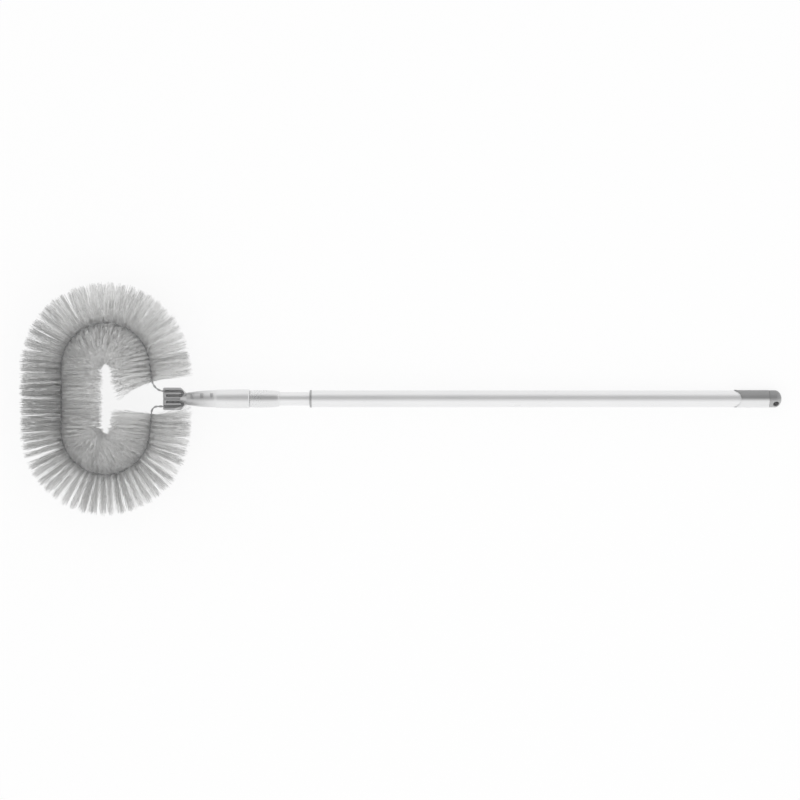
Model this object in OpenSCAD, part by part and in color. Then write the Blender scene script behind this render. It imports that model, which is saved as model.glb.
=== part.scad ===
// Cobweb brush: an oval twisted-wire brush on a two-part telescopic pole.
// Millimetres, +Z up. The pole lies along X with the brush at its -X end, the wire loop lies in
// the XY plane, and the origin is the centre of the hanging hole in the end cap.

/* [Outer tube] */
// Outside diameter of the outer tube
outer_d = 25; // [24:0.5:30]
// Wall of the outer tube
outer_wall = 1; // [0.8:0.1:1.4]
// Length of the outer tube
outer_len = 679.5; // [500:1:900]

/* [Inner tube] */
// Outside diameter of the inner tube
inner_d = 20; // [17:0.5:21]
// Wall of the inner tube
inner_wall = 1; // [0.8:0.1:1.4]
// Length of the inner tube
inner_len = 625; // [400:1:900]
// Stretch of the inner tube that shows between the pole cone and the mouth collar
shown_len = 45; // [20:1:300]
// Least distance between the twist lock and the plug of the end cap
lock_clear = 10; // [2:1:40]

/* [Mouth collar] */
// Length of the ring in front of the tube's mouth
collar_len = 3; // [2:0.5:10]
// Height of the ring over the outer tube
collar_lip = 0.6; // [0.4:0.1:1.5]
// Bevel round the ring's front face
collar_bevel = 0.8; // [0.4:0.1:1.2]
// Length of the guide sleeve inside the tube
guide_len = 28; // [15:1:40]

/* [Grip] */
// Length of the grip sleeve
grip_len = 51; // [30:1:90]
// Wall of the grip sleeve
grip_wall = 0.55; // [0.5:0.05:2]
// Depth of the curved scoop in the grip's front edge
scoop_depth = 9; // [4:0.5:12]
// Radius of the scoop beyond the grip's own radius
scoop_spare = 0.9; // [0.6:0.1:3]
// Width of the raised rim along the scoop
rim_w = 1.6; // [1:0.1:3]
// Height of the raised rim over the grip
rim_h = 0.35; // [0.2:0.05:0.8]

/* [End cap] */
// Distance from the hanging hole's centre to the end of the tube
hole_setback = 9.8; // [8:0.1:14]
// Straight stretch of the cap between the tube's end and its dome
cap_straight = 9.3; // [6:0.1:12]
// Length of the rounded dome
dome_len = 9.9; // [8:0.1:14]
// Step of the cap inside the grip's outside surface
cap_step = 0.25; // [0:0.05:0.6]
// Bevel round the cap where it meets the grip and round its plug
cap_bevel = 0.5; // [0.3:0.1:1]
// Diameter of the hanging hole
hang_hole_d = 9; // [5:0.5:9]
// Turn of the hanging hole about the pole, away from +Z
hang_hole_turn = 40; // [0:5:90]
// Length of the plug inside the tube
plug_len = 30; // [15:1:40]
// Wall of the plug
plug_wall = 2; // [1.5:0.1:3]

/* [Pole cone] */
// Length of the cone that shows behind the socket
cone_len = 44; // [34:1:60]
// Greatest diameter of the cone
cone_d = 26.2; // [25.5:0.1:28]
// Rise of the cone's middle over its two ends
cone_bulge = 0.4; // [0.2:0.1:0.6]
// Length of the cone's rounded back end
cone_round = 17; // [10:1:22]
// Bevel round the cone's front face and the spigot's tip
cone_bevel = 0.8; // [0.4:0.1:1]
// Wall of the cone at its thin end
cone_lip = 0.8; // [0.6:0.1:1.5]
// Depth that the inner tube sits in the cone
cone_hold = 38; // [20:1:38]
// Length of the tapered spigot inside the socket
spigot_len = 76; // [50:1:80]
// Diameter of the spigot at its root
spigot_root_d = 22; // [21:0.5:23]
// Diameter of the spigot at its tip
spigot_tip_d = 15.8; // [14:0.1:16.5]
// Diameter of the core hole through the spigot
spigot_core_d = 10; // [6:0.5:11]

/* [Brush socket] */
// Length of the socket from its rear rim to the flat face of its crown
socket_len = 128.5; // [125:0.5:140]
// Diameter of the socket at its rear rim
socket_rim_d = 28.5; // [27.5:0.1:31]
// Diameter where the rear sleeve of the socket starts
sleeve_front_d = 27.3; // [26.5:0.1:28]
// Length of the rear sleeve
sleeve_len = 48; // [35:1:55]
// Length of the slope from the neck up to the rear sleeve
sleeve_ramp = 4; // [1:0.5:5]
// Length of the plain band at the socket's rear rim
rim_band = 7; // [4:0.5:12]
// Bevel round the socket's rear rim
rim_bevel = 1.4; // [0.4:0.1:1.5]
// Diameter of the tapered neck at the step to the rear sleeve
neck_back_d = 25.6; // [24:0.1:26]
// Diameter of the tapered neck behind the crown
neck_front_d = 18.6; // [18:0.1:21]
// Depth of the tapered bore beyond the tip of the spigot
bore_spare = 1.5; // [1:0.5:4]

/* [Crown] */
// Width of the crown across the two wire ends
crown_w = 33.5; // [33:0.5:38]
// Thickness of the crown
crown_t = 10; // [9:0.5:16]
// Length of the crown at its full width
crown_len = 25; // [20:0.5:27]
// Length over which the crown narrows to the neck
shoulder_len = 10; // [8:0.5:14]
// Bevel round the crown's front face
crown_bevel = 1; // [0.5:0.1:1.5]
// Width of the channel along the middle of the crown
channel_w = 3.2; // [2:0.1:3.6]
// Depth of the channel
channel_depth = 3; // [1:0.5:4]

/* [Thumb ribs] */
// Number of thumb ribs on each side of the neck
rib_count = 3; // [1:1:3]
// Distance between thumb ribs
rib_pitch = 14.5; // [8:0.5:15]
// Distance from the front of the rear sleeve to the nearest rib
rib_inset = 7.5; // [5:0.5:10]
// Length of a rib along the socket
rib_len = 5; // [2:0.1:6]
// Height of a rib over the neck
rib_h = 1.6; // [0.4:0.1:1.8]
// Angle that a rib spans round the neck
rib_span = 32; // [20:2:60]
// Turn of the ribs about the socket, away from +Z
rib_turn = -22; // [-45:1:45]

/* [Wire loop] */
// Diameter of the twisted wire
wire_d = 3.2; // [2.6:0.1:3.4]
// Radius of the two round ends of the loop
loop_r = 66; // [62:0.5:72]
// Length of the straight side of the loop
loop_straight = 93.8; // [80:0.5:120]
// Distance from the middle of the crown to each wire that enters it
tail_y = 11.3; // [11:0.1:12]
// Outward lean of the upper wire between the loop and its bend
upper_lean = 8; // [4:1:12]
// Outward lean of the lower wire between the loop and its bend
lower_lean = 5; // [3:1:8]
// Radius of the upper wire's bend into the crown
upper_bend_r = 18.5; // [14:0.5:24]
// Radius of the lower wire's bend into the crown
lower_bend_r = 9; // [7:0.5:12]
// Depth inside the crown at which the upper bend starts
bend_inset = 1.5; // [0.5:0.1:1.5]
// Distance from the crown's face to the turn of the hook at each wire's end
hook_depth = 25.8; // [22:0.1:26]
// Radius of the hook
hook_r = 3.3; // [2.9:0.1:3.4]
// Length of the hook's returning leg
hook_return = 21; // [8:0.5:22]

/* [Bristles] */
// Number of bristle sections along the wire
bristle_sections = 14; // [12:1:15]
// Steps of bristles in a section
section_steps = 4; // [3:1:4]
// Number of bristles in a step, one on each side of the backing
bristle_sides = 8; // [7:1:8]
// Reach of the outer bristles from the wire's axis
outer_reach = 60; // [50:0.5:62]
// Reach of the inner bristles from the wire's axis
inner_reach = 59; // [46:0.5:60]
// Share by which the shortest bristle falls short
reach_spread = 0.05; // [0:0.01:0.1]
// Height below the wire at which the lowest bristles are cut flat
rest_depth = 59.5; // [48:0.5:61]
// Share of its sector by which a bristle may lean to either side
lean_share = 0.4; // [0:0.05:0.4]
// Share of a step that is kept free of roots at each end
edge_share = 0.14; // [0.12:0.01:0.2]
// Width of a bristle at its root
root_w = 1.7; // [1:0.1:1.8]
// Width of an outer bristle tuft at its tip
outer_tip_w = 3; // [0.8:0.1:3.4]
// Width of an inner bristle at its tip
inner_tip_w = 0.9; // [0.5:0.1:1]
// Diameter of the backing that holds the bristle roots
backing_d = 6; // [5.6:0.1:7]
// Clearance between the backing and the wire
backing_gap = 0.4; // [0.3:0.05:0.5]
// Lean of the wire at which the bristles start on the upper bend
start_lean = 14; // [12:1:16]
// Bare stretch of wire between the last bristles and the lower bend
end_gap = 3; // [1:0.5:8]

/* [Twist lock] */
// Length of the spindle's plug inside the inner tube
spindle_plug_len = 28; // [20:1:40]
// Thickness of the spindle's guide flange
flange_len = 5; // [3:0.5:8]
// Diameter of the threaded spindle
spindle_d = 8; // [6:0.5:9]
// Length of the spindle behind its flange
spindle_len = 46; // [42:1:55]
// Diameter of the core hole in the spindle's plug
spindle_core_d = 8; // [5:0.5:10]
// Thickness of the end stop
stop_len = 4; // [3:0.5:6]
// Diameter of the end stop
stop_d = 15; // [12:0.5:17]
// Thickness of the sleeve's front wall
sleeve_wall_len = 6; // [4:0.5:8]
// Inside diameter of the sleeve ahead of its cone
sleeve_bore_d = 13; // [11.5:0.5:14]
// Inside diameter of the sleeve at its open end
sleeve_mouth_d = 18; // [17:0.1:18.4]
// Length of the sleeve's inner cone
wedge_len = 22; // [20:1:24]
// Length of the wedge nut
nut_len = 14; // [10:0.5:15]
// Distance that the wedge nut travels to lock the pole
nut_travel = 3; // [2:0.1:4]
// Distance from the tight nut to the sleeve's open end
nut_setback = 2; // [1:0.5:3]
// Distance from the sleeve's front wall to the start of its slots
slot_inset = 2; // [1:0.5:4]
// Width of the slots that split the sleeve
slot_w = 2.6; // [2:0.1:3]
// Diameter of the spindle's cross pin
pin_d = 3; // [2:0.5:4]

/* [Clearances] */
// Radial clearance of a sliding fit
slide_gap = 0.12; // [0.1:0.01:0.2]
// Radial clearance of a fixed fit
fixed_gap = 0.04; // [0.02:0.01:0.08]
// Gap between two faces that meet
face_gap = 0.1; // [0.05:0.01:0.2]
// Gap between the socket's rim and the pole cone
seat_gap = 0.3; // [0.1:0.05:0.5]
// Radial clearance of the tapered seat
taper_gap = 0.1; // [0.05:0.01:0.2]
// Clearance round the wire in its groove
groove_gap = 0.15; // [0.1:0.01:0.2]

/* [Hidden] */
$fn = 96;
bristle_names = [for (i = [1 : bristle_sections]) str("bristles_", i < 10 ? "0" : "", i)];

// Flat sides of the wire's round section
wire_sides = 12;
// Steps in which the wire's hooks, bends and half loops are drawn
hook_steps = 8;
upper_bend_steps = 7;
lower_bend_steps = 6;
loop_steps = 24;
// Steps in which a curved outline is drawn
curve_steps = 10;

// Colours
aluminium_colour = "silver";
grip_colour = "darkgray";
cap_colour = "dimgray";
plastic_colour = "gray";
bristle_colour = "lightgray";
steel_colour = "slategray";

// Overlap that makes a cut pass right through a face
cut = 1;
// Depth that one feature is sunk into the feature that carries it
sink = 0.3;

// Tube radii
outer_r = outer_d / 2;
outer_bore_r = outer_r - outer_wall;
inner_r = inner_d / 2;
inner_bore_r = inner_r - inner_wall;

// Places along the pole, from the end cap to the brush
tube_end_x = -hole_setback;
tube_mouth_x = tube_end_x - outer_len;
collar_face_x = tube_mouth_x - collar_len;
// The tube stands as far out as is asked, or further where the twist lock needs the room
hidden_len = inner_len - cone_hold + flange_len + spindle_len;
drawn_len = max(shown_len, hidden_len + lock_clear + plug_len - outer_len - collar_len);
cone_back_x = collar_face_x - drawn_len;
cone_front_x = cone_back_x - cone_len;
socket_rim_x = cone_front_x - seat_gap;
crown_x = socket_rim_x - socket_len;
inner_front_x = cone_back_x - cone_hold;
inner_end_x = inner_front_x + inner_len;

// Grip and cap
grip_r = outer_r + fixed_gap + grip_wall;
grip_front_x = tube_end_x - grip_len;
scoop_r = grip_r + scoop_spare;
scoop_x = grip_front_x + scoop_depth - scoop_r;
cap_r = grip_r - cap_step;

// Socket
sleeve_front_x = socket_rim_x - sleeve_len;
neck_x = crown_x + crown_len + shoulder_len;
neck_back_x = sleeve_front_x - sleeve_ramp;
crown_r = crown_w / 2;

// Hooked ends of the wire
wire_r = wire_d / 2;
groove_r = wire_r + groove_gap;
hook_x = crown_x + hook_depth;
return_y = tail_y - 2 * hook_r;
hook_centre_y = tail_y - hook_r;

// Wire loop: the bends lead into the crown, and the half loops are centred at +-half_straight
half_straight = loop_straight / 2;
upper_bend_x = crown_x + bend_inset;
upper_len = (half_straight + loop_r * sin(upper_lean) - tail_y - upper_bend_r * (1 - sin(upper_lean)))
    / cos(upper_lean);
loop_x = upper_bend_x - upper_bend_r * cos(upper_lean) - upper_len * sin(upper_lean)
    - loop_r * cos(upper_lean);
lower_len = (half_straight + loop_r * sin(lower_lean) - tail_y - lower_bend_r * (1 - sin(lower_lean)))
    / cos(lower_lean);
lower_bend_x = loop_x + loop_r * cos(lower_lean) + lower_len * sin(lower_lean)
    + lower_bend_r * cos(lower_lean);

// Stretches of the wire that carry bristles, in order from the upper bend to the lower one
bend_run = upper_bend_r * (start_lean - upper_lean) * PI / 180;
upper_arc_run = loop_r * (180 - upper_lean) * PI / 180;
lower_arc_run = loop_r * (180 - lower_lean) * PI / 180;
runs = [bend_run, upper_len, upper_arc_run, loop_straight, lower_arc_run, lower_len - end_gap];
function sum_to(list, n) = n <= 0 ? 0 : list[n - 1] + sum_to(list, n - 1);
brushed_len = sum_to(runs, len(runs));

// Gap that is left at each end of a section's backing
section_gap = 0.1;
// Seeds of the bristles' lengths and leans
reach_seed = 7;
lean_seed = 11;
// Sides that are skipped from one bristle to the next one along a step
stagger_stride = 3;

// Bristle steps
step_count = bristle_sections * section_steps;
step_len = brushed_len / step_count;
side_angle = 360 / bristle_sides;
backing_r = backing_d / 2;
backing_bore_r = (wire_r + backing_gap) / cos(side_angle / 2);
reach_draws = rands(0, 1, step_count * bristle_sides, reach_seed);
lean_draws = rands(-1, 1, step_count * bristle_sides, lean_seed);

// Twist lock, from the inner tube's end towards the end cap
flange_end_x = inner_end_x + flange_len;
spindle_end_x = flange_end_x + spindle_len;
stop_x = spindle_end_x - stop_len;
sleeve_x = flange_end_x + face_gap;
sleeve_end_x = stop_x - face_gap;
sleeve_r = outer_bore_r - 2 * slide_gap;
wedge_x = sleeve_end_x - wedge_len;
wedge_slope = (sleeve_mouth_d - sleeve_bore_d) / 2 / wedge_len;
nut_home_x = sleeve_end_x - nut_travel - nut_len - nut_setback;
nut_x = nut_home_x + nut_travel;
slot_x = sleeve_x + sleeve_wall_len + slot_inset;
pin_x = inner_end_x - spindle_plug_len / 2;

// A round bar along X from x0 to x1
module bar(x0, x1, r0, r1 = undef) {
    translate([x0, 0, 0]) rotate([0, 90, 0])
        cylinder(h = x1 - x0, r1 = r0, r2 = is_undef(r1) ? r0 : r1);
}

// A solid of revolution about X, from points of [radius, x]
module turned(points) {
    rotate([0, 90, 0]) rotate_extrude() polygon(points);
}

// A quarter ellipse as [radius, x] points, from the full radius to the axis
function dome_points(r, x, len) = [for (i = [0 : curve_steps]) let (a = 90 * i / curve_steps)
    [r * cos(a), x + len * sin(a)]];

module outer_tube() {
    color(aluminium_colour) difference() {
        bar(tube_mouth_x, tube_end_x, outer_r);
        bar(tube_mouth_x - cut, tube_end_x + cut, outer_bore_r);
    }
}

// Ring at the tube's mouth with a guide sleeve for the inner tube
module mouth_collar() {
    ring_r = outer_r + collar_lip;
    guide_r = outer_bore_r - fixed_gap;
    color(plastic_colour) difference() {
        turned([
            [0, collar_face_x], [ring_r - collar_bevel, collar_face_x],
            [ring_r, collar_face_x + collar_bevel], [ring_r, tube_mouth_x], [guide_r, tube_mouth_x],
            [guide_r, tube_mouth_x + guide_len], [0, tube_mouth_x + guide_len]
        ]);
        bar(collar_face_x - cut, tube_mouth_x + guide_len + cut, inner_r + slide_gap);
    }
}

// Upright cylinder that scoops the front edge of the grip
module scoop(r) {
    translate([scoop_x, 0, -2 * grip_r]) cylinder(h = 4 * grip_r, r = r);
}

// Thin sleeve on the end of the outer tube, scooped at the front with a raised rim
module end_grip() {
    back_x = tube_end_x - face_gap;
    color(grip_colour) difference() {
        union() {
            bar(grip_front_x, back_x, grip_r);
            intersection() {
                bar(grip_front_x, back_x, grip_r + rim_h);
                scoop(scoop_r + rim_w);
            }
        }
        bar(grip_front_x - cut, back_x + cut, outer_r + fixed_gap);
        scoop(scoop_r);
    }
}

// Domed cap with the hanging hole, plugged into the outer tube
module hanger_cap() {
    plug_r = outer_bore_r - fixed_gap;
    dome_x = tube_end_x + cap_straight;
    plug_x = tube_end_x - plug_len;
    color(cap_colour) difference() {
        turned(concat(
            [[0, plug_x], [plug_r - cap_bevel, plug_x], [plug_r, plug_x + cap_bevel],
             [plug_r, tube_end_x], [cap_r - cap_bevel, tube_end_x], [cap_r, tube_end_x + cap_bevel]],
            dome_points(cap_r, dome_x, dome_len)
        ));
        bar(plug_x - cut, tube_end_x, plug_r - plug_wall);
        rotate([hang_hole_turn, 0, 0])
            cylinder(h = 4 * cap_r, r = hang_hole_d / 2, center = true);
    }
}

module inner_tube() {
    color(aluminium_colour) difference() {
        bar(inner_front_x, inner_end_x, inner_r);
        bar(inner_front_x - cut, inner_end_x + cut, inner_bore_r);
        pin_hole();
    }
}

// Hole for the pin that holds the spindle in the inner tube
module pin_hole() {
    translate([pin_x, 0, 0])
        cylinder(h = 2 * inner_d, r = pin_d / 2 + fixed_gap, center = true);
}

// Cone on the end of the inner tube, with the tapered spigot that carries the brush
module pole_cone() {
    thin_r = inner_r + cone_lip;
    tip_r = spigot_tip_d / 2;
    tip_x = cone_front_x - spigot_len;
    end_r = cone_d / 2 - cone_bulge;
    barrel_x = cone_front_x + cone_bevel;
    round_x = cone_back_x - cone_round;
    color(plastic_colour) difference() {
        turned(concat(
            [[0, tip_x], [tip_r - cone_bevel, tip_x], [tip_r, tip_x + cone_bevel],
             [spigot_root_d / 2, cone_front_x], [end_r - cone_bevel, cone_front_x]],
            [for (i = [0 : curve_steps]) let (t = i / curve_steps)
                [end_r + cone_bulge * (1 - pow(2 * t - 1, 2)), barrel_x + t * (round_x - barrel_x)]],
            [for (i = [1 : curve_steps]) let (a = 90 * i / curve_steps)
                [thin_r + (end_r - thin_r) * cos(a), round_x + cone_round * sin(a)]],
            [[0, cone_back_x]]
        ));
        bar(inner_front_x - face_gap, cone_back_x + cut, inner_r + fixed_gap);
        bar(tip_x - cut, inner_front_x, spigot_core_d / 2);
    }
}

// Plug, guide flange and threaded rod of the twist lock, in one piece
module lock_spindle() {
    plug_x = inner_end_x - spindle_plug_len;
    color(plastic_colour) difference() {
        union() {
            bar(plug_x, inner_end_x, inner_bore_r - fixed_gap);
            bar(inner_end_x, flange_end_x, outer_bore_r - 2 * slide_gap);
            bar(flange_end_x - sink, spindle_end_x, spindle_d / 2);
        }
        bar(plug_x - cut, inner_end_x, spindle_core_d / 2);
        pin_hole();
    }
}

// Cross pin through the inner tube and the spindle's plug
module spindle_pin() {
    color(steel_colour) translate([pin_x, 0, 0])
        cylinder(h = inner_d - 2 * face_gap, r = pin_d / 2, center = true);
}

// Washer on the end of the spindle that keeps the sleeve on it
module spindle_stop() {
    color(steel_colour) difference() {
        bar(stop_x, spindle_end_x, stop_d / 2);
        bar(stop_x - cut, spindle_end_x + cut, spindle_d / 2 + fixed_gap);
    }
}

// Radius of the sleeve's inner cone at x
function wedge_r(x) = sleeve_bore_d / 2 + (x - wedge_x) * wedge_slope;

// Split sleeve that the wedge nut spreads against the outer tube
module lock_sleeve() {
    color(plastic_colour) difference() {
        bar(sleeve_x, sleeve_end_x, sleeve_r);
        bar(sleeve_x - cut, sleeve_end_x, spindle_d / 2 + slide_gap);
        bar(sleeve_x + sleeve_wall_len, sleeve_end_x, sleeve_bore_d / 2);
        bar(wedge_x, sleeve_end_x + cut, wedge_r(wedge_x), wedge_r(sleeve_end_x + cut));
        for (a = [0, 90]) rotate([a, 0, 0])
            translate([slot_x, -slot_w / 2, -outer_r])
                cube([sleeve_end_x + cut - slot_x, slot_w, 2 * outer_r]);
    }
}

// Nut with a tapered outside and two keys that ride in the sleeve's slots
module wedge_nut() {
    key_w = slot_w - 4 * slide_gap;
    key_r = sleeve_r - 2 * slide_gap;
    color(plastic_colour) difference() {
        union() {
            bar(nut_x, nut_x + nut_len, wedge_r(nut_home_x) - taper_gap,
                wedge_r(nut_home_x + nut_len) - taper_gap);
            translate([nut_x, -key_w / 2, -key_r]) cube([nut_len, key_w, 2 * key_r]);
        }
        bar(nut_x - cut, nut_x + nut_len + cut, spindle_d / 2 + slide_gap);
    }
}

// Groove for one hooked wire end, open towards +Z
module hook_groove() {
    depth = crown_t;
    front_x = crown_x - cut;
    return_x = hook_x - hook_return - groove_gap;
    for (leg = [[front_x, tail_y], [return_x, return_y]]) {
        translate([0, leg[1], 0]) bar(leg[0], hook_x, groove_r);
        translate([leg[0], leg[1] - groove_r, 0]) cube([hook_x - leg[0], 2 * groove_r, depth]);
    }
    translate([hook_x, hook_centre_y, 0]) rotate([0, 0, -90])
        rotate_extrude(angle = 180) translate([hook_r, 0]) {
            circle(r = groove_r, $fn = 48);
            translate([-groove_r, 0]) square([2 * groove_r, depth]);
        }
}

// Raised arcs on the neck for the thumb
module thumb_ribs() {
    for (side = [0, 180], i = [0 : rib_count - 1]) {
        x = sleeve_front_x - rib_inset - i * rib_pitch;
        top_r = neck_r(x) + rib_h;
        base_r = neck_r(x - rib_len / 2) - sink;
        rotate([side + rib_turn, 0, 0]) rotate([0, 90, 0])
            rotate([0, 0, 180 - rib_span / 2]) rotate_extrude(angle = rib_span)
                polygon([
                    [base_r, x - rib_len / 2], [neck_r(x - rib_len / 2), x - rib_len / 2],
                    [top_r, x - rib_len / 4], [top_r, x + rib_len / 4],
                    [neck_r(x + rib_len / 2), x + rib_len / 2], [base_r, x + rib_len / 2]
                ]);
    }
}

// Radius of the tapered neck at x
function neck_r(x) = neck_front_d / 2
    + (neck_back_d - neck_front_d) / 2 * sin(90 * (x - neck_x) / (neck_back_x - neck_x));

// Profile of the socket from inside its crown, where the neck rises, to its rim
neck_points = concat(
    [[crown_t / 2 - sink, crown_x + crown_len]],
    [for (i = [0 : curve_steps]) let (x = neck_x + (neck_back_x - neck_x) * i / curve_steps)
        [neck_r(x), x]],
    [[sleeve_front_d / 2, sleeve_front_x], [socket_rim_d / 2, socket_rim_x - rim_band],
     [socket_rim_d / 2, socket_rim_x - rim_bevel], [socket_rim_d / 2 - rim_bevel, socket_rim_x]]
);

// Profile of the crown, wide at its face and narrowing to the neck
crown_points = concat(
    [[0, crown_x], [crown_r - crown_bevel, crown_x], [crown_r, crown_x + crown_bevel]],
    [for (i = [0 : curve_steps]) let (t = i / curve_steps)
        [neck_front_d / 2 + (crown_r - neck_front_d / 2) * (1 + cos(180 * t)) / 2,
         crown_x + crown_len + shoulder_len * t]],
    [[0, neck_x]]
);

// Moulded holder: a flat crown that grips the wire ends, and a tapered socket for the pole cone
module brush_socket() {
    bore_tip_x = cone_front_x - spigot_len - bore_spare;
    taper = (spigot_root_d - spigot_tip_d) / 2 / spigot_len;
    bore_root_r = spigot_root_d / 2 + taper_gap;
    bore_tip_r = bore_root_r - taper * (cone_front_x - bore_tip_x);
    color(plastic_colour) difference() {
        union() {
            intersection() {
                turned(crown_points);
                translate([crown_x - cut, -crown_w, -crown_t / 2])
                    cube([neck_x - crown_x + 2 * cut, 2 * crown_w, crown_t]);
            }
            turned(concat([[0, crown_x + crown_len]], neck_points, [[0, socket_rim_x]]));
            thumb_ribs();
        }
        bar(bore_tip_x, cone_front_x, bore_tip_r, bore_root_r);
        for (side = [0, 1]) mirror([0, side, 0]) hook_groove();
        for (side = [0, 1]) mirror([0, 0, side])
            translate([crown_x - cut, -channel_w / 2, crown_t / 2 - channel_depth])
                cube([cut + crown_len, channel_w, crown_t]);
    }
}

// Stations [x, y, heading] of the wire along an arc about a centre
function arc_stations(centre, r, from, to, steps) = [for (i = [0 : steps]) let (
        a = from + (to - from) * i / steps
    ) [centre[0] + r * cos(a), centre[1] + r * sin(a), a + (to > from ? 90 : -90)]];

// Stations of the whole wire, from the end of its upper hook to the end of its lower one
wire_stations = concat(
    [[hook_x - hook_return, return_y, 0]],
    arc_stations([hook_x, hook_centre_y], hook_r, -90, 90, hook_steps),
    arc_stations([upper_bend_x, tail_y + upper_bend_r], upper_bend_r, 270, 180 + upper_lean,
        upper_bend_steps),
    arc_stations([loop_x, half_straight], loop_r, upper_lean, 180, loop_steps),
    arc_stations([loop_x, -half_straight], loop_r, 180, 360 - lower_lean, loop_steps),
    arc_stations([lower_bend_x, -tail_y - lower_bend_r], lower_bend_r, 180 - lower_lean, 90,
        lower_bend_steps),
    arc_stations([hook_x, -hook_centre_y], hook_r, -90, 90, hook_steps),
    [[hook_x - hook_return, -return_y, 180]]
);

// Twisted wire bent to an oval loop, with both ends hooked in the crown
module wire_loop() {
    n = wire_sides;
    last = len(wire_stations) - 1;
    points = [for (w = wire_stations, j = [0 : n - 1])
        [w[0], w[1], 0] + wire_r * across(w[2], 360 * j / n)];
    function at(k, j) = k * n + j % n;
    skin = [for (k = [0 : last - 1], j = [0 : n - 1]) each [
        [at(k, j), at(k, j + 1), at(k + 1, j + 1)], [at(k, j), at(k + 1, j + 1), at(k + 1, j)]]];
    ends = [for (j = [1 : n - 2]) each [
        [at(0, 0), at(0, j + 1), at(0, j)], [at(last, 0), at(last, j), at(last, j + 1)]]];
    color(steel_colour) polyhedron(points, concat(skin, ends));
}

// Point and heading of the wire at a distance from its first bristle, as [x, y, heading]
function wire_at(s) = let (
        stops = [for (n = [0 : len(runs)]) sum_to(runs, n)],
        d = [for (n = [0 : len(runs) - 1]) s - stops[n]],
        bend_a = 180 + start_lean - d[0] / upper_bend_r * 180 / PI,
        upper_a = upper_lean + d[2] / loop_r * 180 / PI,
        lower_a = 180 + d[4] / loop_r * 180 / PI,
        top = [loop_x + loop_r * cos(upper_lean), half_straight + loop_r * sin(upper_lean)],
        foot = [loop_x + loop_r * cos(lower_lean), -half_straight - loop_r * sin(lower_lean)]
    )
    s < stops[1] ? [upper_bend_x + upper_bend_r * cos(bend_a),
        tail_y + upper_bend_r + upper_bend_r * sin(bend_a), bend_a - 90] :
    s < stops[2] ? [top[0] + (upper_len - d[1]) * sin(upper_lean),
        top[1] - (upper_len - d[1]) * cos(upper_lean), 90 + upper_lean] :
    s < stops[3] ? [loop_x + loop_r * cos(upper_a), half_straight + loop_r * sin(upper_a),
        upper_a + 90] :
    s < stops[4] ? [loop_x - loop_r, half_straight - d[3], 270] :
    s < stops[5] ? [loop_x + loop_r * cos(lower_a), -half_straight + loop_r * sin(lower_a),
        lower_a + 90] :
    [foot[0] + d[5] * sin(lower_lean), foot[1] + d[5] * cos(lower_lean), 450 - lower_lean];

// Unit vector across the wire: a = 0 points out of the loop, a = 90 points up
function across(heading, a) =
    [cos(a) * cos(heading - 90), cos(a) * sin(heading - 90), sin(a)];

// Point beside the wire at distance s, at radius r and angle a round it
function beside(s, r, a) = let (w = wire_at(s)) [w[0], w[1], 0] + r * across(w[2], a);

// Fractions along a step at which the bristles of its sides stand, so that none share a place
function stagger(side) = edge_share
    + (1 - 2 * edge_share) * ((side * stagger_stride) % bristle_sides) / (bristle_sides - 1);

// Three root points and three tip points of one bristle
function bristle_points(step, side, s0, s1) = let (
        draw = step * bristle_sides + side,
        u = stagger(side),
        half_u = root_w / 2 / step_len,
        half_v = root_w / 2 / (2 * backing_r * sin(side_angle / 2)),
        a0 = side_angle * (side - 0.5),
        a1 = a0 + side_angle,
        low = [beside(s0, backing_r, a0), beside(s0, backing_r, a1)],
        high = [beside(s1, backing_r, a0), beside(s1, backing_r, a1)],
        a = side_angle * (side + lean_share * lean_draws[draw]),
        w = wire_at(s0 + u * (s1 - s0)),
        reach = (cos(a) > 0 ? outer_reach : outer_reach + (outer_reach - inner_reach) * cos(a))
            * (1 - reach_spread * reach_draws[draw]),
        cut_reach = sin(a) < 0 ? min(reach, rest_depth / -sin(a)) : reach,
        tip = [w[0], w[1], 0] + cut_reach * across(w[2], a),
        along = [cos(w[2]), sin(w[2]), 0],
        around = across(w[2], a + 90),
        tip_r = (inner_tip_w + (outer_tip_w - inner_tip_w) * (1 + cos(a)) / 2) / 2
    )
    concat(
        [for (k = [0 : 2]) let (
                pu = u + half_u * cos(120 * k), pv = 0.5 + half_v * sin(120 * k),
                left = low[0] + pv * (low[1] - low[0]), right = high[0] + pv * (high[1] - high[0])
            ) left + pu * (right - left)],
        [for (k = [0 : 2]) let (
                p = tip + tip_r * (cos(120 * k) * along + sin(120 * k) * around)
            ) [p[0], p[1], max(p[2], -rest_depth)]]
    );

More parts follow.
